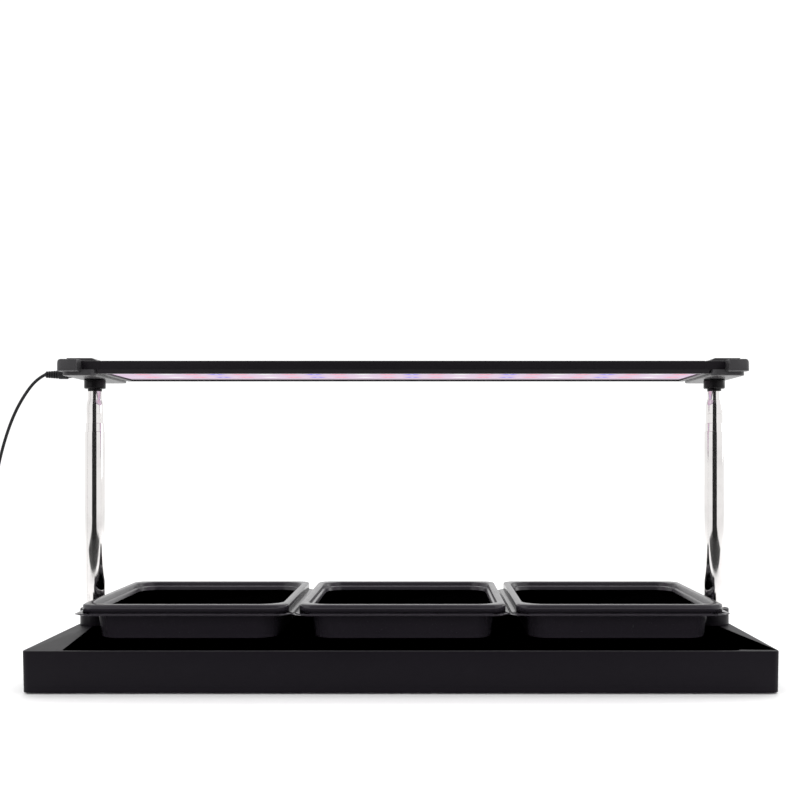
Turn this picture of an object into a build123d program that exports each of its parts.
"""Bench-top LED grow light: base tray, seed trays, telescopic posts, lamp and low-voltage lead.

Millimetres, +Z up, +X to the right, -Y towards the front.
The origin is the middle of the base tray's footprint, on the table.
"""
from build123d import *
import math
import os

os.makedirs("parts", exist_ok=True)

# ---------------------------------------------------------------- driving dimensions
SIDES = {"left": -1, "right": 1}

# base tray
base_length = 780.0
base_depth = 390.0
base_height = 44.5
base_gap = 1.5            # height of the tray's underside above the table
base_draft = 0.7          # how much narrower each side is at the bottom
base_corner = 7.0
base_edge = 1.0
base_wall = 3.5
base_floor = 6.0
ledge_width = 40.0
ledge_skin = 3.0
rib_height = 5.0
rib_width = 4.0
ribs_per_tray = 4
foot_radius = 8.0
foot_sink = 1.5           # how far a foot is let into the floor
foot_inset = 30.0

# posts
post_x = base_length / 2 - ledge_width / 2
socket_height = 20.0
socket_wall = 5.5
spigot_wall = 2.5
spigot_floor = 6.0
socket_bottom = 14.5
tube_radii = [11.5, 10.6, 9.85, 8.0]
tube_wall = 0.5
tube_tops = [274.5, 284.5, 312.5, 322.5]
tube_step = 3.0           # each tube's foot stands this much above the next wider one's
tube_lip = 1.5
shoulder_height = 6.0     # tapered mouth of tube 3
stage_travel = 170.0
guide_height = 12.0
stop_gap = 0.5            # left between guide ring and lip at full height
groove_height = 0.8
groove_depth = 0.2
groove_drop = 17.0         # the groove lies this far under tube 3's top

# clearances
press_gap = 0.05          # parts pushed or screwed together
slide_gap = 0.05          # guide ring in tube
mouth_gap = 0.08          # tube in the mouth of the next wider one
loose_gap = 0.3           # parts laid next to each other

# seed trays
seed_end_gap = 1.1        # between the outer trays' lips and the posts
seed_depth = 256.0
seed_height = 69.4
seed_gap = 0.4            # between neighbours
seed_lip = 6.5
seed_band = 10.0          # height of the rim's vertical band
seed_rim = 9.0            # width of the rim's flat top
seed_wall = 1.0
seed_draft = math.tan(math.radians(8.0))
seed_corner = 24.0
seed_rim_corner = 14.0
seed_step_width = 2.5     # the mouth is this much wider than the body below it
seed_step_depth = 5.0
seed_floor_radius = 8.0
drain_radius = 3.0

# lamp
lamp_depth = 140.0
lamp_height = 10.0
lamp_half_length = post_x - 5.0
cap_length = 22.0
channel_wall = 2.0
channel_skin = 1.8
channel_flange = 10.0
bezel_height = 4.5
bezel_chamfer = 1.5
bezel_width = 9.5
diffuser_thickness = 1.5
diffuser_seat = 3.0       # how far the diffuser reaches over the bezel
diffuser_lift = 2.1       # bezel material under the diffuser
board_thickness = 1.6
board_depth = 68.0
board_end_gap = 3.0       # between the board and the housing's caps
board_end_margin = 10.0   # bare board beyond the last LED
led_size = 5.0
led_height = 1.5
led_pitch = 28.7
led_shift = 9.0           # the strips sit to the right, clear of the power leads
led_row = 23.0
reflector_thickness = 0.4
reflector_left_gap = 21.0 # room for the power leads
reflector_depth = lamp_depth - 24.0

# brackets
collar_height = 11.0
plate_inner = post_x - 20.5
plate_outer = post_x + 18.0
plate_depth = lamp_depth + 4.0
plate_thickness = 6.8
plate_corner = 8.0
cover_outer = plate_outer + 0.5
cover_depth = lamp_depth + 36.0
cover_lift = 4.0          # the cover's underside above the plate's
cover_rise = 0.6          # the cover's block above the housing
arm_thickness = 3.6
arm_outer = post_x + 14.0
arm_depth = lamp_depth - 12.0
arm_slope = 5.7
collar_radius = 12.5
plug_flange = 3.0
plug_flange_radius = 8.2
stud_radius = 2.5

# power lead
cord_radius = 1.8
lead_y = -30.0
lead_lift = 3.8           # the plug's axis above the bracket plate's underside
jack_length = 14.0
jack_width = 9.0
jack_height = 10.0
coil_reach = 103.5        # the coil's centre, out from where the cord leaves the plug
coil_y = -5.0
coil_middle_radius = 21.2
coil_turns_across = 5
coil_layers = 2
coil_lift = 0.8           # the tie passes under the turns
adapter_reach = 17.0      # the adapter's centre line, out from the coil's centre
adapter_size = (44.0, 66.0, 27.0)
adapter_wall = 2.0

# ---------------------------------------------------------------- worked out
floor_top = base_gap + base_floor
socket_radius = tube_radii[0] + socket_wall
spigot_radius = tube_radii[0] + spigot_wall
well_half = base_length / 2 - ledge_width
socket_top = base_height + socket_height
tube_foot = socket_bottom + spigot_floor
groove_z = tube_tops[2] - groove_drop
seed_bottom = floor_top + rib_height
seed_top = seed_bottom + seed_height
seed_pitch = 2 * (post_x - tube_radii[0] - seed_end_gap + seed_gap / 2) / 3
seed_width = seed_pitch - seed_gap
collar_bottom = tube_tops[3] + plug_flange
plate_bottom = collar_bottom + collar_height
lamp_bottom = plate_bottom + plate_thickness
lamp_top = lamp_bottom + lamp_height
bezel_bottom = lamp_bottom - bezel_height
bezel_half_length = plate_inner - loose_gap
cap_inner = lamp_half_length - cap_length
cover_bottom = plate_bottom + cover_lift
cover_top = lamp_top + cover_rise
arm_top = lamp_top + arm_thickness
board_half_length = cap_inner - board_end_gap
board_top = lamp_top - channel_skin
board_bottom = board_top - board_thickness
led_columns = int((board_half_length - board_end_margin - led_shift) / led_pitch)  # each side
reflector_left = reflector_left_gap - cap_inner
lead_z = plate_bottom + lead_lift


def keep(piece, label):
    """Name a finished piece and write it to its own file."""
    piece.part.label = label
    export_step(piece.part, f"parts/{label}.step")


def block(x_limits, y_limits, z_limits, mode=Mode.ADD):
    """Add or cut a box between the given limits."""
    limits = (x_limits, y_limits, z_limits)
    with Locations(tuple((low + high) / 2 for low, high in limits)):
        Box(*(abs(high - low) for low, high in limits), mode=mode)


def rod(x, y, z_low, z_high, radius, mode=Mode.ADD):
    """Add or cut an upright cylinder between two heights."""
    with Locations((x, y, (z_low + z_high) / 2)):
        Cylinder(radius, z_high - z_low, mode=mode)


def plate_loft(low, high, mode=Mode.ADD):
    """Loft between two rounded rectangles, each given as (length, depth, corner, height, x)."""
    sections = []
    for length, depth, corner, height, x in (low, high):
        with BuildSketch(Plane((x, 0, height))) as section:
            RectangleRounded(length, depth, corner)
        sections.append(section.sketch)
    loft(sections, ruled=True, mode=mode)


def turned(x, y, profile, axis_direction=(0, 0, 1), start=0.0):
    """Revolve a profile of (radius, distance) points about an axis through (x, y, start)."""
    direction = Vector(*axis_direction)
    side = Vector(0, 1, 0) if abs(direction.Y) < 0.5 else Vector(1, 0, 0)
    plane = Plane(origin=(x, y, start), x_dir=side, z_dir=side.cross(direction))
    with BuildSketch(plane) as section:
        with BuildLine():
            Polyline(*profile, close=True)
        make_face()
    revolve(section.sketch, axis=Axis((x, y, start), axis_direction))


# ---------------------------------------------------------------- base tray
foot_x = [-(base_length / 2 - foot_inset), 0, base_length / 2 - foot_inset]
foot_y = [-(base_depth / 2 - foot_inset), base_depth / 2 - foot_inset]
foot_spots = [(x, y) for x in foot_x for y in foot_y]
screw_offset = 7.0
socket_screw_radius = 2.0
socket_screw_head = 3.8
socket_screw_sink = 5.5
core_half = 22.0          # solid stretch of the ledge round each post socket

with BuildPart() as base_tray:
    plate_loft(
        (base_length - 2 * base_draft, base_depth - 2 * base_draft, base_corner, base_gap, 0),
        (base_length, base_depth, base_corner, base_height, 0),
    )
    fillet(base_tray.edges().group_by(Axis.Z)[-1], radius=base_edge)
    plate_loft(
        (2 * well_half - 2 * base_draft, base_depth - 2 * base_wall - 2 * base_draft, 6, floor_top, 0),
        (2 * well_half, base_depth - 2 * base_wall, 6, base_height, 0),
        mode=Mode.SUBTRACT,
    )
    # the ledges are hollow underneath, apart from a solid core round each post
    hollow_inner = well_half + ledge_skin
    hollow_outer = base_length / 2 - base_draft - base_wall
    hollow_end = base_depth / 2 - base_draft - base_wall
    for x_sign in SIDES.values():
        for y_sign in (-1, 1):
            block(
                (x_sign * hollow_inner, x_sign * hollow_outer),
                (y_sign * core_half, y_sign * hollow_end),
                (base_gap - 1, base_height - ledge_skin),
                mode=Mode.SUBTRACT,
            )
    # ribs that hold the seed trays clear of standing water
    for tray in (-1, 0, 1):
        with Locations((tray * seed_pitch, 0, floor_top + rib_height / 2)):
            with GridLocations(seed_width / (ribs_per_tray + 1), 1, ribs_per_tray, 1):
                Box(rib_width, seed_depth * 0.8, rib_height)
    for x_sign in SIDES.values():
        rod(x_sign * post_x, 0, socket_bottom, base_height + 1, spigot_radius + press_gap, Mode.SUBTRACT)
        for y_sign in (-1, 1):
            spot = (x_sign * post_x, y_sign * screw_offset)
            rod(*spot, base_gap - 1, base_gap + socket_screw_sink, socket_screw_head + 0.3, Mode.SUBTRACT)
            rod(*spot, base_gap, socket_bottom + 1, socket_screw_radius + press_gap, Mode.SUBTRACT)
    for x, y in foot_spots:
        foot_ledge = abs(x) > well_half
        if foot_ledge:
            rod(x, y, base_gap, base_height - ledge_skin, foot_radius + 2)
        rod(x, y, base_gap - 1, base_gap + foot_sink, foot_radius + press_gap, Mode.SUBTRACT)
keep(base_tray, "base_tray")

with BuildPart() as rubber_feet:
    for x, y in foot_spots:
        rod(x, y, 0, base_gap + foot_sink, foot_radius)
    fillet(rubber_feet.edges().group_by(Axis.Z)[0], radius=0.8)
keep(rubber_feet, "rubber_feet")

# ---------------------------------------------------------------- post sockets and their screws
set_screw_z = base_height + socket_height / 2
set_screw_radius = 2.0

for side, sign in SIDES.items():
    with BuildPart() as socket:
        rod(sign * post_x, 0, socket_bottom, base_height, spigot_radius)
        rod(sign * post_x, 0, base_height, socket_top, socket_radius)
        fillet(socket.edges().group_by(Axis.Z)[-1], radius=1.5)
        rod(sign * post_x, 0, tube_foot, socket_top + 1, tube_radii[0] + press_gap, Mode.SUBTRACT)
        for y_sign in (-1, 1):
            rod(sign * post_x, y_sign * screw_offset, socket_bottom - 1, tube_foot,
                socket_screw_radius + press_gap, Mode.SUBTRACT)
        with Locations(Location((sign * post_x, socket_radius / 2 + 5, set_screw_z), (90, 0, 0))):
            Cylinder(set_screw_radius + press_gap, socket_radius, mode=Mode.SUBTRACT)
    keep(socket, f"{side}_post_socket")

with BuildPart() as socket_screws:
    for sign in SIDES.values():
        for y_sign in (-1, 1):
            spot = (sign * post_x, y_sign * screw_offset)
            head_top = base_gap + socket_screw_sink
            rod(*spot, head_top - 3, head_top, socket_screw_head)
            rod(*spot, head_top, tube_foot - 0.5, socket_screw_radius)
keep(socket_screws, "socket_screws")

with BuildPart() as set_screws:
    set_screw_length = socket_radius - tube_radii[0] - press_gap
    for sign in SIDES.values():
        middle_y = tube_radii[0] + set_screw_length / 2
        with Locations(Location((sign * post_x, middle_y + press_gap / 2, set_screw_z), (90, 0, 0))):
            Cylinder(set_screw_radius, set_screw_length - press_gap)
keep(set_screws, "set_screws")

# ---------------------------------------------------------------- telescopic posts
tube_feet = [tube_foot + tube_step * stage for stage in range(4)]
mouth_radii = [radius + mouth_gap for radius in tube_radii[1:]]
shoulder_z = tube_tops[2] - shoulder_height


def lipped_tube(x, stage):
    """A tube whose mouth is rolled in to the size of the next tube."""
    outer = tube_radii[stage]
    inner = outer - tube_wall
    foot = tube_feet[stage]
    top = tube_tops[stage]
    mouth = mouth_radii[stage]
    turned(x, 0, [(inner, foot), (outer, foot), (outer, top - 0.6), (outer - 0.4, top), (mouth, top),
                  (mouth, top - tube_lip), (inner, top - tube_lip)])


def shouldered_tube(x, stage):
    """A tube whose mouth is drawn down in a long taper."""
    outer = tube_radii[stage]
    inner = outer - tube_wall
    foot = tube_feet[stage]
    top = tube_tops[stage]
    mouth = mouth_radii[stage]
    neck = mouth + tube_wall
    turned(x, 0, [(inner, foot), (outer, foot), (outer, shoulder_z), (neck, top - 0.8), (neck, top),
                  (mouth, top), (mouth, top - 1.0), (inner, shoulder_z - 0.5)])


def plain_tube(x, stage):
    """A straight tube with open ends."""
    outer = tube_radii[stage]
    inner = outer - tube_wall
    turned(x, 0, [(inner, tube_feet[stage]), (outer, tube_feet[stage]), (outer, tube_tops[stage]),
                  (inner, tube_tops[stage])])


tube_makers = [lipped_tube, lipped_tube, shouldered_tube, plain_tube]
# where the next tube's upper guide ring stops: under a lip, or under the taper
stop_heights = [tube_tops[0] - tube_lip, tube_tops[1] - tube_lip, shoulder_z - 0.5]

for side, sign in SIDES.items():
    for stage, make_tube in enumerate(tube_makers):
        with BuildPart() as tube:
            make_tube(sign * post_x, stage)
            if make_tube is shouldered_tube:
                ring = tube_radii[stage]
                with Locations((sign * post_x, 0, groove_z)):
                    with BuildPart(mode=Mode.PRIVATE) as groove:
                        Cylinder(ring + 1, groove_height)
                        Cylinder(ring - groove_depth, groove_height, mode=Mode.SUBTRACT)
                add(groove.part.moved(Location((sign * post_x, 0, groove_z))), mode=Mode.SUBTRACT)
        keep(tube, f"{side}_tube_{stage + 1}")
    for stage in (1, 2, 3):
        ring_outer = tube_radii[stage - 1] - tube_wall - slide_gap
        upper_top = stop_heights[stage - 1] - stage_travel - stop_gap
        with BuildPart() as guides:
            for low in (tube_feet[stage], upper_top - guide_height):
                rod(sign * post_x, 0, low, low + guide_height, ring_outer)
                rod(sign * post_x, 0, low, low + guide_height, tube_radii[stage], Mode.SUBTRACT)
        keep(guides, f"{side}_guides_{stage + 1}")

# ---------------------------------------------------------------- seed trays
band_width = seed_width - 2 * seed_lip
band_depth = seed_depth - 2 * seed_lip
body_width = band_width - 2 * seed_rim
body_depth = band_depth - 2 * seed_rim
rim_under = seed_top - seed_band


def seed_section(height, inset, x):
    """The tray body's rounded rectangle at a height, moved inwards by an inset."""
    shrink = 2 * (seed_top - height) * seed_draft + 2 * inset
    return (body_width - shrink, body_depth - shrink, seed_corner - inset, height, x)


def seed_body(x, inset, bottom, step, top):
    """A tapered body with a wider mouth, either the tray's outside or its inside."""
    with BuildPart(mode=Mode.PRIVATE) as body:
        plate_loft(seed_section(bottom, inset, x), seed_section(top, inset, x))
        fillet(body.edges().group_by(Axis.Z)[0], radius=seed_floor_radius - inset)
        plate_loft(seed_section(step, inset - seed_step_width, x),
                   seed_section(top, inset - seed_step_width, x))
    return body.part


def seed_tray(x):
    """One vacuum-formed tray: tapered body, flat rim, vertical band and outward lip."""
    step_z = seed_top - seed_step_depth
    with BuildPart() as tray:
        with BuildSketch(Plane((x, 0, rim_under))):
            RectangleRounded(band_width, band_depth, seed_rim_corner)
        extrude(amount=seed_band)
        with BuildSketch(Plane((x, 0, rim_under))):
            RectangleRounded(seed_width, seed_depth, seed_rim_corner + seed_lip)
        extrude(amount=seed_wall)
        # the rim is hollow underneath
        with BuildSketch(Plane((x, 0, rim_under - 1))):
            RectangleRounded(band_width - 2 * seed_wall, band_depth - 2 * seed_wall,
                             seed_rim_corner - seed_wall)
        extrude(amount=seed_band + 1 - seed_wall, mode=Mode.SUBTRACT)
        add(seed_body(x, 0, seed_bottom, step_z - seed_wall, seed_top))
        add(seed_body(x, seed_wall, seed_bottom + seed_wall, step_z, seed_top + 1),
            mode=Mode.SUBTRACT)
        with Locations((x, 0, seed_bottom)):
            with GridLocations(body_width / 4, body_depth / 3, 3, 3):
                Cylinder(drain_radius, 4 * seed_wall, mode=Mode.SUBTRACT)
    return tray


for name, place in (("left", -1), ("middle", 0), ("right", 1)):
    keep(seed_tray(place * seed_pitch), f"seed_tray_{name}")

# ---------------------------------------------------------------- lamp posts' tops
stud_top = lamp_top - 2.5
nut_radius = 3.6
nut_height = 7.0
cover_recess = lamp_bottom

for side, sign in SIDES.items():
    x = sign * post_x
    with BuildPart() as tube_plug:
        rod(x, 0, tube_tops[3] - 18, tube_tops[3], tube_radii[3] - tube_wall - press_gap)
        rod(x, 0, tube_tops[3], collar_bottom, plug_flange_radius)
        rod(x, 0, tube_tops[3] - 19, collar_bottom + 1, stud_radius + press_gap, Mode.SUBTRACT)
    keep(tube_plug, f"{side}_tube_plug")

    with BuildPart() as collar:
        rod(x, 0, collar_bottom, plate_bottom, collar_radius)
        fillet(collar.edges(), radius=1.2)
        rod(x, 0, collar_bottom - 1, plate_bottom + 1, stud_radius + press_gap, Mode.SUBTRACT)
    keep(collar, f"{side}_collar")

with BuildPart() as post_studs:
    for sign in SIDES.values():
        rod(sign * post_x, 0, tube_tops[3] - 16, stud_top, stud_radius)
keep(post_studs, "post_studs")

with BuildPart() as insert_nuts:
    for sign in SIDES.values():
        rod(sign * post_x, 0, lamp_bottom, lamp_bottom + nut_height, nut_radius)
        rod(sign * post_x, 0, lamp_bottom, lamp_bottom + nut_height, stud_radius + press_gap,
            Mode.SUBTRACT)
keep(insert_nuts, "insert_nuts")

# ---------------------------------------------------------------- brackets
bracket_screw_x = post_x + 8.0
bracket_screw_y = plate_depth / 2 - 17.0
bracket_screw_radius = 1.5
bracket_screw_head = 2.8
bracket_screw_sink = 2.2
bracket_screw_length = 12.0
jack_front = -plate_outer
jack_back = jack_front + jack_length
jack_low = plate_bottom + 0.8
jack_limits_y = (lead_y - jack_width / 2, lead_y + jack_width / 2)
lead_slot_y = (lead_y - 4, lead_y + 4)
lead_slot_z = (lamp_bottom + channel_wall, lamp_bottom + channel_wall + 3.4)


def jack_pocket():
    """Room for the power jack, open towards the end of the bracket."""
    block((-cover_outer - 1, jack_back), (jack_limits_y[0] - press_gap, jack_limits_y[1] + press_gap),
          (jack_low, jack_low + jack_height + press_gap), mode=Mode.SUBTRACT)


for side, sign in SIDES.items():
    with BuildPart() as plate:
        block((sign * plate_inner, sign * plate_outer), (-plate_depth / 2, plate_depth / 2),
              (plate_bottom, lamp_bottom))
        fillet(plate.edges().filter_by(Axis.Z), radius=plate_corner)
        fillet(plate.edges().group_by(Axis.Z)[0], radius=1.0)
        rod(sign * post_x, 0, plate_bottom - 1, lamp_bottom + 1, stud_radius + press_gap, Mode.SUBTRACT)
        for y_sign in (-1, 1):
            spot = (sign * bracket_screw_x, y_sign * bracket_screw_y)
            rod(*spot, plate_bottom - 1, plate_bottom + bracket_screw_sink,
                bracket_screw_head + 0.2, Mode.SUBTRACT)
            rod(*spot, plate_bottom, lamp_bottom + 1, bracket_screw_radius + press_gap, Mode.SUBTRACT)
        if side == "left":
            jack_pocket()
    keep(plate, f"{side}_bracket_plate")

    with BuildPart() as cover:
        block((sign * (lamp_half_length + loose_gap), sign * cover_outer),
              (-cover_depth / 2, cover_depth / 2), (cover_bottom, cover_top))
        outer_edges = cover.edges().filter_by(Axis.Z).sort_by(Axis.X)
        fillet(outer_edges[:2] if sign < 0 else outer_edges[-2:], radius=5)
        block((sign * plate_inner, sign * arm_outer), (-arm_depth / 2, arm_depth / 2),
              (lamp_top, arm_top))
        arm_edges = cover.edges().filter_by(Axis.Y).group_by(Axis.Z)[-1].sort_by(Axis.X)
        inner_edge = arm_edges[-1] if sign < 0 else arm_edges[0]
        arm_end = cover.faces().filter_by(Axis.X).sort_by(Axis.X)
        chamfer(inner_edge, length=arm_top - lamp_top - 0.8, length2=arm_slope,
                reference=arm_end[-1] if sign < 0 else arm_end[0])
        block((sign * (lamp_half_length - 1), sign * (cover_outer + 1)),
              (-plate_depth / 2 - loose_gap, plate_depth / 2 + loose_gap),
              (cover_bottom - 1, cover_recess), mode=Mode.SUBTRACT)
        rod(sign * post_x, 0, lamp_bottom - 1, lamp_bottom + nut_height + 1, nut_radius + press_gap,
            Mode.SUBTRACT)
        for y_sign in (-1, 1):
            rod(sign * bracket_screw_x, y_sign * bracket_screw_y, lamp_bottom - 1,
                plate_bottom + bracket_screw_sink + bracket_screw_length,
                bracket_screw_radius + press_gap, Mode.SUBTRACT)
        if side == "left":
            jack_pocket()
            block((jack_back - 1, -lamp_half_length), lead_slot_y, lead_slot_z, mode=Mode.SUBTRACT)
    keep(cover, f"{side}_bracket_cover")

with BuildPart() as bracket_screws:
    for x_sign in SIDES.values():
        for y_sign in (-1, 1):
            spot = (x_sign * bracket_screw_x, y_sign * bracket_screw_y)
            head_top = plate_bottom + bracket_screw_sink
            rod(*spot, plate_bottom + 0.4, head_top, bracket_screw_head)
            rod(*spot, head_top, head_top + bracket_screw_length - 1, bracket_screw_radius)
keep(bracket_screws, "bracket_screws")

# ---------------------------------------------------------------- lamp housing
inner_depth = lamp_depth / 2 - channel_wall
flange_top = lamp_bottom + channel_wall
bezel_screw_radius = 1.2
bezel_screw_head = 2.0
bezel_screw_y = lamp_depth / 2 - 3.7
bezel_screw_sink = 1.4
bezel_screw_inset = 13.0   # from the housing's end to its first screw
bezel_screw_grid = (2 * (cap_inner - bezel_screw_inset) / 3, 2 * bezel_screw_y, 4, 2)
board_screw_radius = 1.5
board_screw_head = 2.8
board_screw_inset = 40.0
board_screw_grid = (2 * (board_half_length - board_screw_inset) / 5, 1, 6, 1)

with BuildPart() as lamp_housing:
    block((-cap_inner, cap_inner), (-lamp_depth / 2, lamp_depth / 2), (lamp_bottom, lamp_top))
    fillet(lamp_housing.edges().filter_by(Axis.X).group_by(Axis.Z)[-1], radius=1.0)
    block((-cap_inner - 1, cap_inner + 1), (-inner_depth, inner_depth),
          (flange_top, lamp_top - channel_skin), mode=Mode.SUBTRACT)
    block((-cap_inner - 1, cap_inner + 1),
          (-lamp_depth / 2 + channel_flange, lamp_depth / 2 - channel_flange),
          (lamp_bottom - 1, flange_top + 1), mode=Mode.SUBTRACT)
    with Locations((0, 0, lamp_bottom)):
        with GridLocations(*bezel_screw_grid):
            Cylinder(bezel_screw_radius + press_gap, 2 * channel_wall + 1, mode=Mode.SUBTRACT)
    with Locations((0, 0, board_top)):
        with GridLocations(*board_screw_grid):
            Cylinder(board_screw_radius + press_gap, 2.6, mode=Mode.SUBTRACT)
keep(lamp_housing, "lamp_housing")

for side, sign in SIDES.items():
    with BuildPart() as cap:
        block((sign * cap_inner, sign * lamp_half_length), (-lamp_depth / 2, lamp_depth / 2),
              (lamp_bottom, lamp_top))
        fillet(cap.edges().filter_by(Axis.X).group_by(Axis.Z)[-1], radius=1.0)
        block((sign * (cap_inner - 1), sign * (lamp_half_length - 3)), (-inner_depth, inner_depth),
              (flange_top, lamp_top - channel_skin), mode=Mode.SUBTRACT)
        if side == "left":
            block((-lamp_half_length - 1, -lamp_half_length + 4), lead_slot_y, lead_slot_z,
                  mode=Mode.SUBTRACT)
    keep(cap, f"{side}_housing_cap")

opening_half_depth = lamp_depth / 2 - bezel_width
opening_half_length = cap_inner - 2
seat_z = bezel_bottom + diffuser_lift

with BuildPart() as bezel:
    plate_loft(
        (2 * (bezel_half_length - bezel_chamfer), lamp_depth - 2 * bezel_chamfer, 2, bezel_bottom, 0),
        (2 * bezel_half_length, lamp_depth, 2, lamp_bottom, 0),
    )
    block((-opening_half_length, opening_half_length), (-opening_half_depth, opening_half_depth),
          (bezel_bottom - 1, lamp_bottom + 1), mode=Mode.SUBTRACT)
    block((-opening_half_length - diffuser_seat, opening_half_length + diffuser_seat),
          (-opening_half_depth - diffuser_seat, opening_half_depth + diffuser_seat),
          (seat_z, lamp_bottom + 1), mode=Mode.SUBTRACT)
    with Locations((0, 0, bezel_bottom)):
        with GridLocations(*bezel_screw_grid):
            Cylinder(bezel_screw_radius + press_gap, 2 * bezel_height + 1, mode=Mode.SUBTRACT)
            Cylinder(bezel_screw_head + 0.2, 2 * bezel_screw_sink, mode=Mode.SUBTRACT)
keep(bezel, "bezel")

with BuildPart() as bezel_screws:
    with GridLocations(*bezel_screw_grid):
        with Locations((0, 0, bezel_bottom + 0.2)):
            Cylinder(bezel_screw_head, bezel_screw_sink - 0.2,
                     align=(Align.CENTER, Align.CENTER, Align.MIN))
        with Locations((0, 0, bezel_bottom + bezel_screw_sink)):
            Cylinder(bezel_screw_radius, bezel_height + channel_wall - bezel_screw_sink - 0.3,
                     align=(Align.CENTER, Align.CENTER, Align.MIN))
keep(bezel_screws, "bezel_screws")

with BuildPart() as diffuser:
    slack = loose_gap
    block((-opening_half_length - diffuser_seat + slack, opening_half_length + diffuser_seat - slack),
          (-opening_half_depth - diffuser_seat + slack, opening_half_depth + diffuser_seat - slack),
          (seat_z, seat_z + diffuser_thickness))
keep(diffuser, "diffuser")

# ---------------------------------------------------------------- LED board
led_colours = {"blue": [], "red": [], "white": []}
for column in range(-led_columns, led_columns + 1):
    colour = "red" if column % 2 else ("blue" if column % 4 == 0 else "white")
    led_colours[colour] += [(led_shift + column * led_pitch, row) for row in (-led_row, led_row)]

with BuildPart() as led_board:
    block((-board_half_length, board_half_length), (-board_depth / 2, board_depth / 2),
          (board_bottom, board_top))
    with Locations((0, 0, board_bottom)):
        with GridLocations(*board_screw_grid):
            Cylinder(board_screw_radius + press_gap, 4 * board_thickness, mode=Mode.SUBTRACT)
keep(led_board, "led_board")

for colour, spots in led_colours.items():
    with BuildPart() as leds:
        with Locations(*((x, y, board_bottom - led_height / 2) for x, y in spots)):
            Box(led_size, led_size, led_height)
    keep(leds, f"leds_{colour}")

reflector_top = board_bottom - 0.2
with BuildPart() as reflector:
    block((reflector_left, board_half_length), (-reflector_depth / 2, reflector_depth / 2),
          (reflector_top - reflector_thickness, reflector_top))
    with Locations(*((x, y, reflector_top) for spots in led_colours.values() for x, y in spots)):
        Box(led_size + 1.4, led_size + 1.4, 2, mode=Mode.SUBTRACT)
    with Locations((0, 0, reflector_top)):
        with GridLocations(*board_screw_grid):
            Cylinder(board_screw_head + 0.4, 2, mode=Mode.SUBTRACT)
keep(reflector, "reflector")

with BuildPart() as board_screws:
    with GridLocations(*board_screw_grid):
        with Locations((0, 0, board_bottom - 1.6)):
            Cylinder(board_screw_head, 1.6, align=(Align.CENTER, Align.CENTER, Align.MIN))
        with Locations((0, 0, board_bottom)):
            Cylinder(board_screw_radius, board_thickness + 1.2,
                     align=(Align.CENTER, Align.CENTER, Align.MIN))
keep(board_screws, "board_screws")

# ---------------------------------------------------------------- power jack and its leads
barrel_radius = 2.7
barrel_length = 9.5

with BuildPart() as dc_jack:
    block((jack_front, jack_back), jack_limits_y, (jack_low, jack_low + jack_height))
    with Locations(Location((jack_front + barrel_length / 2, lead_y, lead_z), (0, 90, 0))):
        Cylinder(barrel_radius + press_gap, barrel_length + 1, mode=Mode.SUBTRACT)
keep(dc_jack, "dc_jack")

wire_radius = 0.7
wire_spread = 2.0
wire_start_z = lead_slot_z[0] + 0.9
wire_end_z = board_bottom - wire_radius

for label, offset in (("lead_red", -wire_spread), ("lead_black", wire_spread)):
    wire_y = lead_y + offset
    with BuildPart() as wire:
        with BuildLine():
            FilletPolyline(
                (jack_back, wire_y, wire_start_z), (-cap_inner - 13, wire_y, wire_start_z),
                (-cap_inner - 3, wire_y, wire_end_z), (-board_half_length + 9, wire_y, wire_end_z),
                radius=12,
            )
        with BuildSketch(Plane.YZ.offset(jack_back).shift_origin((jack_back, wire_y, wire_start_z))):
            Circle(wire_radius)
        sweep()
    keep(wire, label)

# ---------------------------------------------------------------- plug and strain relief
plug_nose = 5.0
plug_body = 11.0
relief_length = 15.5
relief_tip = 1.4
plug_start = jack_front - plug_nose
relief_start = plug_start - plug_body
cord_start = relief_start - relief_length
coil_x = cord_start - coil_reach
adapter_x = coil_x - adapter_reach

with BuildPart() as dc_plug:
    turned(jack_front, lead_y, [
        (0, -barrel_length), (barrel_radius, -barrel_length), (barrel_radius, 0), (3.9, 0),
        (4.2, plug_nose - 0.8), (5.3, plug_nose), (5.3, plug_nose + plug_body - 1),
        (4.6, plug_nose + plug_body), (0, plug_nose + plug_body),
    ], axis_direction=(-1, 0, 0), start=lead_z)
keep(dc_plug, "dc_plug")

# ---------------------------------------------------------------- cord, coil and adapter
layer_height = 2 * cord_radius
coil_turn_radii = [coil_middle_radius + (turn - (coil_turns_across - 1) / 2) * 2 * cord_radius
                   for turn in range(coil_turns_across)]
coil_top = coil_lift + coil_layers * layer_height
coil_outer = coil_turn_radii[-1] + cord_radius
coil_inner = coil_turn_radii[0] - cord_radius
turn_z = coil_lift + cord_radius
top_turn_z = coil_top - cord_radius

cord_route = [
    (cord_start, lead_y, lead_z),
    (cord_start - 8.8, -30, 335.7),
    (cord_start - 21.6, -30, 320.9),
    (cord_start - 35.9, -30, 296),
    (cord_start - 47.5, -30, 264),
    (cord_start - 56.1, -30, 229),
    (cord_start - 61.5, -30.5, 191.5),
    (cord_start - 65.5, -31, 151.5),
    (cord_start - 68.5, -32, 111.5),
    (cord_start - 71, -34.5, 70),
    (cord_start - 73, -37, 36),
    (cord_start - 74.5, -33, 13),
    (cord_start - 76, -20, turn_z),
    (coil_x + coil_turn_radii[-1], coil_y, turn_z),
]
adapter_front = coil_y - 69
adapter_relief = 12.0
adapter_middle_z = adapter_size[2] / 2
tail_route = [
    (coil_x - coil_turn_radii[-1], coil_y, top_turn_z),
    (coil_x - coil_turn_radii[-1] - 0.4, coil_y - 19, top_turn_z),
    (adapter_x, coil_y - 40, adapter_middle_z),
    (adapter_x, adapter_front + adapter_relief, adapter_middle_z),
]


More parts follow.
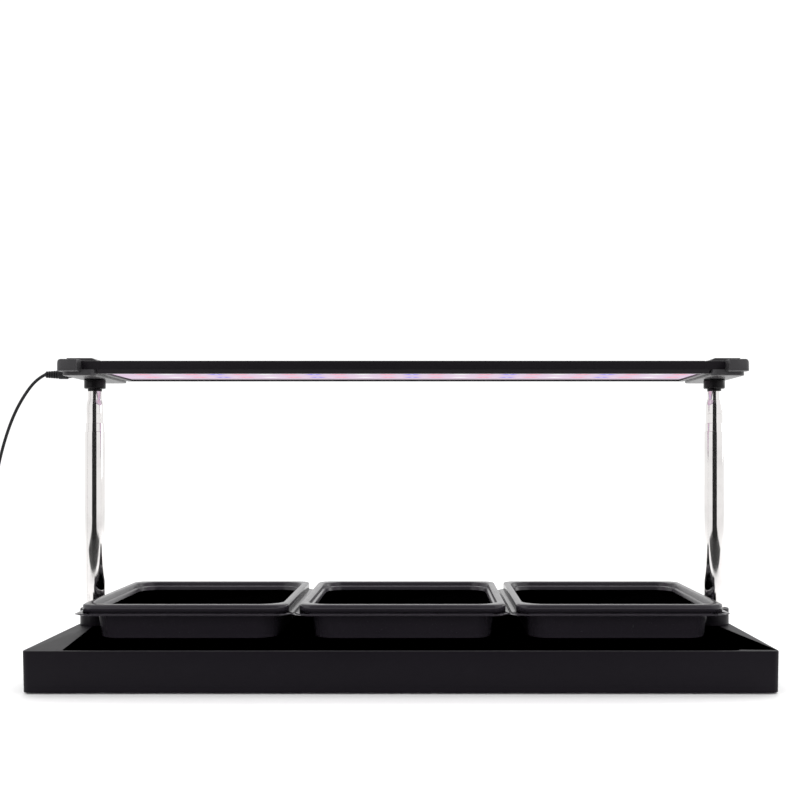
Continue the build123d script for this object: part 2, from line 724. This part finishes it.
with BuildPart() as plug_strain_relief:
    rib_count = 5
    rib_pitch = relief_length / (rib_count + 0.5)
    outline = [(0, 0)]
    for rib in range(rib_count):
        rib_radius = 4.7 - 0.2 * rib
        core_radius = 3.5 - 0.2 * rib
        rib_start = rib * rib_pitch
        outline += [(core_radius, rib_start), (core_radius, rib_start + 0.42 * rib_pitch),
                    (rib_radius, rib_start + 0.5 * rib_pitch), (rib_radius, rib_start + rib_pitch)]
    tip = relief_length + relief_tip
    outline += [(2.5, rib_count * rib_pitch), (2.3, tip), (0, tip)]
    turned(relief_start, lead_y, outline, axis_direction=(-1, 0, 0), start=lead_z)
    # the tip is cut square to the cord, which leaves it downwards
    first, second = (Vector(*point) for point in cord_route[:2])
    split(bisect_by=Plane(origin=first, z_dir=second - first), keep=Keep.BOTTOM)
keep(plug_strain_relief, "plug_strain_relief")


def corner_radii(route):
    """The largest tidy radius at each corner of a route, from its shorter run and its turn."""
    points = [Vector(*point) for point in route]
    radii = []
    for before, corner, after in zip(points, points[1:], points[2:]):
        turn = (corner - before).get_angle(after - corner)
        shorter = min((corner - before).length, (after - corner).length)
        radii.append(0.45 * shorter / math.tan(math.radians(turn) / 2))
    return radii


def cord_tube(route, label):
    """A round cord along straight runs joined by tangent arcs."""
    radii = corner_radii(route)
    print(label, "corner radii", [round(radius, 1) for radius in radii])
    with BuildPart() as tube:
        with BuildLine():
            path = FilletPolyline(*route, radius=radii)
        with BuildSketch(Plane(origin=path @ 0, z_dir=path % 0)):
            Circle(cord_radius)
        sweep()
    length = path.length
    print(label, "length", round(length, 1), "volume ratio",
          round(tube.part.volume / (math.pi * cord_radius ** 2 * length), 4))
    keep(tube, label)
    return length


cord_length = cord_tube(cord_route, "dc_cord") + cord_tube(tail_route, "adapter_cord")
coil_turns = coil_layers * (coil_turns_across - 1) + 0.5  # the cord leaves opposite its start
coil_length = coil_turns * 2 * math.pi * coil_middle_radius
print("whole cord", round(cord_length + coil_length, 1), "coil", round(coil_length, 1))

with BuildPart() as cord_coil:
    rod(coil_x, coil_y, coil_lift, coil_top, coil_outer)
    rod(coil_x, coil_y, coil_lift, coil_top, coil_inner, Mode.SUBTRACT)
    fillet(cord_coil.edges(), radius=1.5)
keep(cord_coil, "cord_coil")

tie_thickness = 0.7
tie_width = 6.0
with BuildPart() as coil_tie:
    tie_x = (coil_inner + coil_outer) / 2
    tie_half = (coil_outer - coil_inner) / 2
    low = coil_lift - tie_thickness
    high = coil_top + tie_thickness
    with Locations(Location((coil_x, coil_y, 0), (0, 0, 60))):
        with Locations((tie_x, 0, (low + high) / 2)):
            Box(2 * tie_half + 2 * tie_thickness, tie_width, high - low)
    add(cord_coil.part, mode=Mode.SUBTRACT)
keep(coil_tie, "coil_tie")

adapter_back = adapter_front - adapter_size[1]
adapter_y = (adapter_front + adapter_back) / 2
prong_spread = 12.7
prong_y = adapter_back + 18
case_halves = {"adapter_case_back": (0.0, adapter_middle_z),
               "adapter_case_front": (adapter_middle_z, adapter_size[2])}


def prong_boxes(grow, mode=Mode.ADD):
    """The two flat blades, or the slots for them."""
    low = adapter_size[2] - adapter_wall
    for x_sign in (-1, 1):
        with Locations((adapter_x + x_sign * prong_spread / 2, prong_y, low)):
            Box(1.5 + grow, 6.3 + grow, 18, align=(Align.CENTER, Align.CENTER, Align.MIN), mode=mode)


for label, (low, high) in case_halves.items():
    with BuildPart() as case:
        with BuildSketch(Plane((adapter_x, adapter_y, low))):
            RectangleRounded(adapter_size[0], adapter_size[1], 6)
        extrude(amount=high - low)
        outer_face = case.edges().group_by(Axis.Z)[0 if low == 0 else -1]
        fillet(outer_face, radius=2.5)
        cavity_low = low + adapter_wall if low == 0 else low - 1
        with BuildSketch(Plane((adapter_x, adapter_y, cavity_low))):
            RectangleRounded(adapter_size[0] - 2 * adapter_wall, adapter_size[1] - 2 * adapter_wall, 4)
        extrude(amount=high - low - adapter_wall + 1, mode=Mode.SUBTRACT)
        prong_boxes(2 * press_gap, mode=Mode.SUBTRACT)
    keep(case, label)

with BuildPart() as adapter_prongs:
    prong_boxes(0)
keep(adapter_prongs, "adapter_prongs")

with BuildPart() as adapter_strain_relief:
    turned(adapter_x, adapter_front, [
        (0, 0), (4.2, 0), (2.6, adapter_relief), (0, adapter_relief),
    ], axis_direction=(0, 1, 0), start=adapter_middle_z)
keep(adapter_strain_relief, "adapter_strain_relief")
